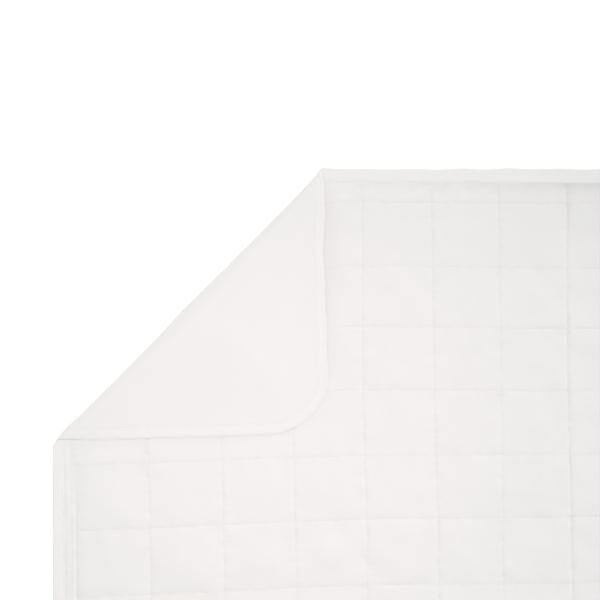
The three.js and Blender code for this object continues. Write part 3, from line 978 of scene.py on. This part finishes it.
def binding_profile(over, under):
    """Section of the binding at its stations, as rings of inset and height: along the floor from
    the lower arm's edge, round the nose, back over the front, and through the slot inside."""
    rings = [
        (under, 0.3),
        (under - 0.5, 0.08),
        (under - 1.4, 0.08),
        (under - STITCH_FROM_EDGE, GROOVE_HEIGHT["under"]),
        (under - 4.0, 0.08),
        (under - 6.0, 0.02),
        (under * 0.5, 0.0),
        (6.0, 0.03),
        (3.6, 0.2),
        (1.9, 0.55),
        (0.8, 1.1),
        (0.15, 1.9),
        (0.0, NOSE_HEIGHT),
        (0.02, 4.0),
        (0.2, 5.0),
        (0.7, 5.6),
        (1.7, 5.9),
        (4.5, 6.0),
        (over * 0.5, 6.1),
        (over - 6.0, 5.9),
        (over - 4.0, 5.65),
        (over - STITCH_FROM_EDGE, GROOVE_HEIGHT["over"]),
        (over - 1.4, 5.4),
        (over - 0.5, 5.2),
        (over, 4.9),
        (over, 4.6),
    ]
    slot_end = PANEL_INSET - 0.5
    inside = [
        (over - 0.8, SEAM_TOP + ARM_GAP),
        (slot_end, SEAM_TOP + ARM_GAP),
        (slot_end, ARM_THICKNESS),
        (under - 0.8, ARM_THICKNESS),
    ]
    return rings, inside


def binding_bumps(row, run, inset, upper):
    """Random bumps along the binding, not the same on its two faces."""
    return row["most"] * unevenness(run, inset, row["size"], row["seed"] + upper)


def edge_binding():
    """The strip folded over the edge of both panels, puckered a little along its stitching. On
    the folded corner its face thins to a wedge at the edge, which lies on the squares below."""
    feet, ways = rim_stations(STATION_PITCH)
    over = side_value(*feet.T, BINDING_OVER)
    under = side_value(*feet.T, BINDING_UNDER)
    rings, inside = binding_profile(over, under)
    run = np.where(np.abs(ways[:, 1]) > TURN_TO_END, feet[:, 0], feet[:, 1])
    folded = ramp(past_fold(*feet.T), ON_FOLDED_CORNER)
    nose = blend(NOSE_HEIGHT, FOLDED_NOSE["height"], folded)
    flat = Flat()
    numbers = []
    for number, (inset, height) in enumerate([*rings, *inside]):
        x, y = inset_ring(feet, ways, inset)
        upper = height >= NOSE_HEIGHT
        size = 0.0
        if number < len(rings):
            from_stitch = np.abs((over if upper else under) - inset - STITCH_FROM_EDGE)
            near_stitch = np.exp(-from_stitch / BINDING_PUCKER_REACH)
            size = near_stitch * binding_bumps(BINDING_PUCKERS, run, inset, upper)
            size = size + binding_bumps(BINDING_WAVES, run, inset, upper)
            length = FOLDED_NOSE["front_wedge" if upper else "back_wedge"]
            wedge = smooth(np.broadcast_to(inset, len(feet)) / length)
            height = nose + (height - NOSE_HEIGHT) * blend(1, wedge, folded)
            height = height + (NOSE_HEIGHT - nose) * wedge
        lift = seam_lift(x, y) if upper else 0
        z = height + lift + np.where(upper, size, np.abs(size) * UNDERSIDE_SHARE)
        numbers.append(flat.add(x, y, z))
    for place, ring in enumerate(numbers):
        following = numbers[(place + 1) % len(numbers)]
        flat.add_band(following, ring, upwards=False)
    return cloth_mesh("edge_binding_strip", flat)


# Stitches, and how clear they stay of the binding and of the groove that they lie in
THREAD_RADIUS = 0.28
QUILT_STITCH = {"pitch": 3.9, "length": 2.9}
EDGE_STITCH = {"pitch": 3.4, "length": 2.5}
STITCH_CLEARANCE = {"binding": 1.0, "groove": 0.1}

# Sections of a stitch: share of the way along it, share of its width, and height off the cloth
STITCH_SECTIONS = [(0.0, 0.0, -0.25), (0.2, 1.0, 0.1), (0.8, 1.0, 0.1), (1.0, 0.0, -0.25)]


def stitch_mesh(name, starts, ends, height, facing):
    """Joins small rounded stitches, laid from starts to ends, into one mesh. height gives the
    cloth's height at places of the flat blanket, and facing is 1 above it and -1 below it."""
    run = ends - starts
    length = np.linalg.norm(run, axis=1, keepdims=True)
    side = np.stack([-run[:, 1], run[:, 0]], 1) / length * THREAD_RADIUS
    points = []
    for share, width, level in STITCH_SECTIONS:
        middle = starts + run * share
        ring = [(1, 0), (0, 1), (-1, 0), (0, -1)] if width else [(0, 0)]
        for across, up in ring:
            place = middle + side * across
            z = height(*place.T) + facing * (level + up * THREAD_RADIUS)
            points.append(np.stack([*place.T, z], 1))
    per_stitch = len(points)
    all_points = np.stack(points, 1).reshape(-1, 3)
    faces = []
    for corner in range(4):
        following = (corner + 1) % 4
        faces.append((0, 1 + corner, 1 + following))
        faces.append((1 + corner, 5 + corner, 5 + following))
        faces.append((1 + corner, 5 + following, 1 + following))
        faces.append((5 + corner, 9, 5 + following))
    faces = np.array(faces)
    if facing > 0:
        faces = faces[:, ::-1]
    firsts = np.arange(len(starts)) * per_stitch
    all_faces = (faces[None] + firsts[:, None, None]).reshape(-1, 3)
    mesh = bpy.data.meshes.new(name)
    mesh.from_pydata(lay_out(all_points).tolist(), [], all_faces.tolist())
    mesh.shade_smooth()
    return add_object(name, mesh)


def quilting_threads():
    """Stitches along every line of the quilting, from binding to binding."""
    starts, ends = [], []
    pitch, length = QUILT_STITCH["pitch"], QUILT_STITCH["length"]
    upright = (HALF_LENGTH, COLUMNS, COLUMN_PITCH, 1)
    level = (HALF_WIDTH, ROWS, ROW_PITCH, -1)
    for reach, count, line_pitch, order in (upright, level):
        lines = np.arange(count + 1) * line_pitch - count * line_pitch / 2
        along, across = np.meshgrid(np.arange(-reach, reach, pitch), lines)
        along, across = along.ravel(), across.ravel()
        starts.append(np.stack([across, along][::order], 1))
        ends.append(np.stack([across, along + length][::order], 1))
    starts, ends = np.concatenate(starts), np.concatenate(ends)
    clear = np.ones(len(starts), bool)
    for place in (starts, ends):
        reach = side_value(*place.T, BINDING_OVER)
        clear &= depth_inside(*place.T) > reach + STITCH_CLEARANCE["binding"]
    return stitch_mesh("quilting_threads", starts[clear], ends[clear], front_top, 1)


def edge_threads(name, reach, facing):
    """One row of stitches along the binding, on its upper or its lower face."""
    feet, ways = rim_stations(EDGE_STITCH["pitch"])
    places = inset_ring(feet, ways, side_value(*feet.T, reach) - STITCH_FROM_EDGE).T
    ends = blend(places, np.roll(places, -1, 0), EDGE_STITCH["length"] / EDGE_STITCH["pitch"])
    over, under = GROOVE_HEIGHT["over"], GROOVE_HEIGHT["under"]

    def height(x, y):
        cloth = over + seam_lift(x, y) if facing > 0 else under + 0 * x
        return cloth + STITCH_CLEARANCE["groove"]

    return stitch_mesh(name, places, ends, height, facing)


# Colours, each with its darker tone
OFF_WHITE = (0.883, 0.868, 0.862)
SHADED_WHITE = (0.866, 0.850, 0.843)
TAPE_WHITE = (0.896, 0.882, 0.876)
SHADED_TAPE_WHITE = (0.882, 0.867, 0.860)
PLUSH_WHITE = (0.882, 0.866, 0.860)
SHADED_PLUSH_WHITE = (0.865, 0.848, 0.841)
THREAD_WHITE = (0.89, 0.87, 0.86)
SHADED_THREAD_WHITE = (0.83, 0.81, 0.80)

# How light falls on each material
WOVEN = {"Roughness": 0.82, "Specular IOR Level": 0.25, "Sheen Weight": 0.12, "Sheen Roughness": 0.4}
PLUSH = {"Roughness": 0.92, "Specular IOR Level": 0.25, "Sheen Weight": 0.3, "Sheen Roughness": 0.55}
THREAD = {"Roughness": 0.6, "Sheen Weight": 0.2}
GROUND = {
    "Base Color": (0.35, 0.35, 0.35, 1),
    "Roughness": 1.0,
    "Specular IOR Level": 0.0,
    "Emission Color": (1, 1, 1, 1),
    "Emission Strength": 0.8,
}

# Noise patterns of the cloths: bumps to the metre each way, detail and roughness
PATTERNS = {
    "upright_puckers": ((28, 56, 40), 1, 0.5),
    "level_puckers": ((48, 26, 40), 1, 0.5),
    "slubs": ((900, 90, 900), 2, 0.5),
    "fuzz": ((260, 260, 260), 3, 0.6),
    "pile": ((1500, 1500, 1500), 2, 0.6),
    "nap": ((45, 28, 45), 4, 0.6),
    "patches": ((14, 14, 14), 3, 0.5),
    "tones": ((5, 5, 5), 2, 0.5),
}
TWIST_SCALE = 2500

# Height in millimetres, and strength, by which patterns stand up from the cloth
RAISED = {
    "weave": (0.12, 0.35),
    "slubs": (0.12, 0.25),
    "fuzz": (0.25, 0.25),
    "pile": (0.3, 0.45),
    "nap": (0.6, 0.2),
    "twist": (0.1, 0.5),
}
# Least share of colour that each pattern leaves, and that the painted shade leaves
LEAST_COLOUR = {"weave": 0.975, "patches": 0.985, "nap": 0.985, "pile": 0.97, "painted_shade": 0.93}
ONE_WAVE_A_UNIT = math.pi / 10


def fill(target, inputs):
    """Gives each input of a node its value, or a link from another node's output."""
    for name, value in inputs.items():
        if isinstance(value, bpy.types.NodeSocket):
            target.id_data.links.new(value, target.inputs[name])
        else:
            target.inputs[name].default_value = value


def node(tree, kind, inputs, output=0, **values):
    """Adds a node with its values and inputs, and gives back one of its outputs."""
    made = tree.nodes.new(kind)
    for name, value in values.items():
        setattr(made, name, value)
    fill(made, inputs)
    return made.outputs[output]


def cloth_place(tree, scale):
    """Places on the flat blanket, in metres, turned into a pattern's own scale."""
    place = node(tree, "ShaderNodeAttribute", {}, "Vector", attribute_name="cloth_place")
    return node(tree, "ShaderNodeMapping", {"Vector": place, "Scale": scale})


def noise(tree, name):
    """A pattern of the table, drawn on the flat cloth."""
    scale, detail, roughness = PATTERNS[name]
    place = cloth_place(tree, scale)
    inputs = {"Vector": place, "Scale": 1.0, "Detail": detail, "Roughness": roughness}
    return node(tree, "ShaderNodeTexNoise", inputs, "Fac")


def threads(tree, way, pitch):
    """Even ribs one thread apart, running along one way of the cloth."""
    place = cloth_place(tree, (1 / (pitch * MM),) * 3)
    inputs = {"Vector": place, "Scale": ONE_WAVE_A_UNIT, "Distortion": 0.35, "Detail Scale": 0.6}
    return node(
        tree, "ShaderNodeTexWave", inputs, "Fac", wave_type="BANDS", bands_direction=way
    )


def combine(tree, operation, *values):
    return node(tree, "ShaderNodeMath", dict(enumerate(values)), operation=operation)


def bumped(tree, height, size, below=None):
    """The surface with a pattern raised on it, by a height in millimetres and a strength."""
    inputs = {"Height": height, "Distance": size[0] * MM, "Strength": size[1]}
    if below is not None:
        inputs["Normal"] = below
    return node(tree, "ShaderNodeBump", inputs)


def tones(tree, factor, colours):
    """A pattern turned into the tones between two colours."""
    blended = node(tree, "ShaderNodeValToRGB", {"Fac": factor}, "Color")
    for stop, colour in zip(blended.node.color_ramp.elements, colours):
        stop.color = (*colour, 1)
    return blended


def new_material(name, inputs):
    made = bpy.data.materials.new(name)
    made.use_nodes = True
    shader = made.node_tree.nodes["Principled BSDF"]
    fill(shader, inputs)
    return made, made.node_tree, shader


def shade(tree, colour, factor, least):
    """Darkens a colour by a pattern, down to a least share of it."""
    low = combine(tree, "MULTIPLY_ADD", factor, 1 - least, least)
    inputs = {"Factor": 1.0, 6: colour, 7: low}
    return node(tree, "ShaderNodeMix", inputs, 2, data_type="RGBA", blend_type="MULTIPLY")


def seam_and_painted_shade_weights(tree):
    """The weights of upright seams, of level seams and of painted shade, as X, Y and Z."""
    weights = node(tree, "ShaderNodeAttribute", {}, "Vector", attribute_name="seam_and_painted_shade_weights")
    return node(tree, "ShaderNodeSeparateXYZ", {"Vector": weights}).node.outputs


def seam_puckers(tree):
    """Small puckers that cross the seams, where the sewing pulls the cloth in."""
    weights = seam_and_painted_shade_weights(tree)
    upright = combine(tree, "MULTIPLY", weights["X"], noise(tree, "upright_puckers"))
    level = combine(tree, "MULTIPLY", weights["Y"], noise(tree, "level_puckers"))
    return combine(tree, "ADD", upright, level)


def with_painted_shade(tree, colour):
    """Paints shade into a colour where the cloth is turned away."""
    bright = combine(tree, "SUBTRACT", 1.0, seam_and_painted_shade_weights(tree)["Z"])
    return shade(tree, colour, bright, LEAST_COLOUR["painted_shade"])


def woven_material(name, thread_pitch, pucker_height, colours):
    """Plain weave in fine off-white thread, a little slubby, puckered at its seams."""
    made, tree, shader = new_material(name, WOVEN)
    weave = combine(tree, "MULTIPLY", *[threads(tree, way, thread_pitch) for way in "XY"])
    surface = bumped(tree, seam_puckers(tree), (pucker_height, 1.0))
    surface = bumped(tree, weave, RAISED["weave"], surface)
    surface = bumped(tree, noise(tree, "slubs"), RAISED["slubs"], surface)
    surface = bumped(tree, noise(tree, "fuzz"), RAISED["fuzz"], surface)
    colour = tones(tree, noise(tree, "tones"), colours)
    colour = shade(tree, colour, weave, LEAST_COLOUR["weave"])
    colour = shade(tree, colour, noise(tree, "patches"), LEAST_COLOUR["patches"])
    # The base colour carries painted shade where the cloth is turned away
    fill(shader, {"Normal": surface, "Base Color": with_painted_shade(tree, colour)})
    return made


def plush_material():
    """Short soft pile, brushed this way and that."""
    made, tree, shader = new_material("short_plush", PLUSH)
    pile, nap = noise(tree, "pile"), noise(tree, "nap")
    surface = bumped(tree, nap, RAISED["nap"], bumped(tree, pile, RAISED["pile"]))
    colour = tones(tree, noise(tree, "tones"), (SHADED_PLUSH_WHITE, PLUSH_WHITE))
    colour = shade(tree, colour, nap, LEAST_COLOUR["nap"])
    colour = shade(tree, colour, pile, LEAST_COLOUR["pile"])
    # The base colour carries painted shade where the cloth is turned away
    fill(shader, {"Normal": surface, "Base Color": with_painted_shade(tree, colour)})
    return made


def thread_material():
    """Twisted sewing thread, in about the cloth's own white."""
    made, tree, shader = new_material("sewing_thread", THREAD)
    place = node(tree, "ShaderNodeTexCoord", {}, "Object")
    twist = node(tree, "ShaderNodeTexNoise", {"Vector": place, "Scale": TWIST_SCALE}, "Fac")
    colour = tones(tree, twist, (SHADED_THREAD_WHITE, THREAD_WHITE))
    fill(shader, {"Normal": bumped(tree, twist, RAISED["twist"]), "Base Color": colour})
    return made


def dress(piece, material, nodes=()):
    piece.data.materials.append(material)
    if nodes:
        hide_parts(*nodes)
    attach(piece, "root")


# Ground, lamps and camera, in metres. The far lamp's azimuth turns from x towards y, and the
# camera's turns are in degrees.
GROUND_HALF_SIZE = 90.0
GROUND_BELOW = 0.0004
OVERHEAD_PLACE = (-0.185, 0.452, 1.1)
OVERHEAD_SIZE = 0.5
OVERHEAD_COLOUR = (0.925, 0.7, 0.79)
FAR_ELEVATION = math.radians(50)
FAR_AZIMUTH = math.radians(55)
FAR_SPREAD = math.radians(60)
FILL = {"Color": (0.92, 1.0, 0.955, 1), "Strength": 0.559}
CAMERA_PLACE = (-0.47206, 0.57574, 2.1198)
CAMERA_TURN = (2.753, -7.891, -0.460)


def floor():
    """A ground that gives off light itself, so that it looks white, as in a photo studio."""
    size = GROUND_HALF_SIZE
    mesh = bpy.data.meshes.new("ground")
    corners = [(-size, -size, 0), (size, -size, 0), (size, size, 0), (-size, size, 0)]
    mesh.from_pydata(corners, [], [(0, 1, 2, 3)])
    ground = add_object("ground", mesh)
    ground.location.z = -GROUND_BELOW
    mesh.materials.append(new_material("white_ground", GROUND)[0])


def add_lamp(name, kind, **values):
    """Adds a lamp that shines straight down until it is turned."""
    light = bpy.data.lights.new(name, kind)
    for key, value in values.items():
        setattr(light, key, value)
    return add_object(name, light)


def lights():
    """A soft lamp above the folded corner, a broad far one at the upper right, and pale fill."""
    overhead = add_lamp(
        "overhead", "AREA", shape="DISK", size=OVERHEAD_SIZE, energy=3.4, color=OVERHEAD_COLOUR
    )
    overhead.location = OVERHEAD_PLACE
    far = add_lamp("upper_right", "SUN", angle=FAR_SPREAD, energy=1.27, color=(1, 1, 1))
    far.rotation_euler = (0, math.pi / 2 - FAR_ELEVATION, FAR_AZIMUTH)
    world = bpy.data.worlds.new("studio")
    world.use_nodes = True
    fill(world.node_tree.nodes["Background"], FILL)
    bpy.context.scene.world = world


def camera():
    """Almost straight above the folded corner, leaning a little to the left."""
    lens = bpy.data.cameras.new("camera")
    lens.lens = 72
    lens.sensor_width = 36
    lens.clip_end = 100
    viewer = add_object("camera", lens)
    viewer.location = CAMERA_PLACE
    viewer.rotation_euler = Euler([math.radians(turn) for turn in CAMERA_TURN])
    bpy.context.scene.camera = viewer
    bpy.context.scene.view_settings.view_transform = "Standard"


camera()
lights()
floor()

front = quilted_front()
backing = plain_backing()
binding = edge_binding()
quilting = quilting_threads()
upper_threads = edge_threads("binding_threads_front", BINDING_OVER, 1)
lower_threads = edge_threads("binding_threads_back", BINDING_UNDER, -1)

front_colours = (SHADED_WHITE, OFF_WHITE)
tape_colours = (SHADED_TAPE_WHITE, TAPE_WHITE)
woven = woven_material("woven_cotton", thread_pitch=0.45, pucker_height=2.8, colours=front_colours)
tape = woven_material("binding_cotton", thread_pitch=0.6, pucker_height=1.0, colours=tape_colours)
thread = thread_material()
dress(front, woven, ["quilted_front"])
dress(backing, plush_material(), ["plain_backing"])
dress(binding, tape, ["edge_binding"])
dress(quilting, thread)
dress(upper_threads, thread)
dress(lower_threads, thread)
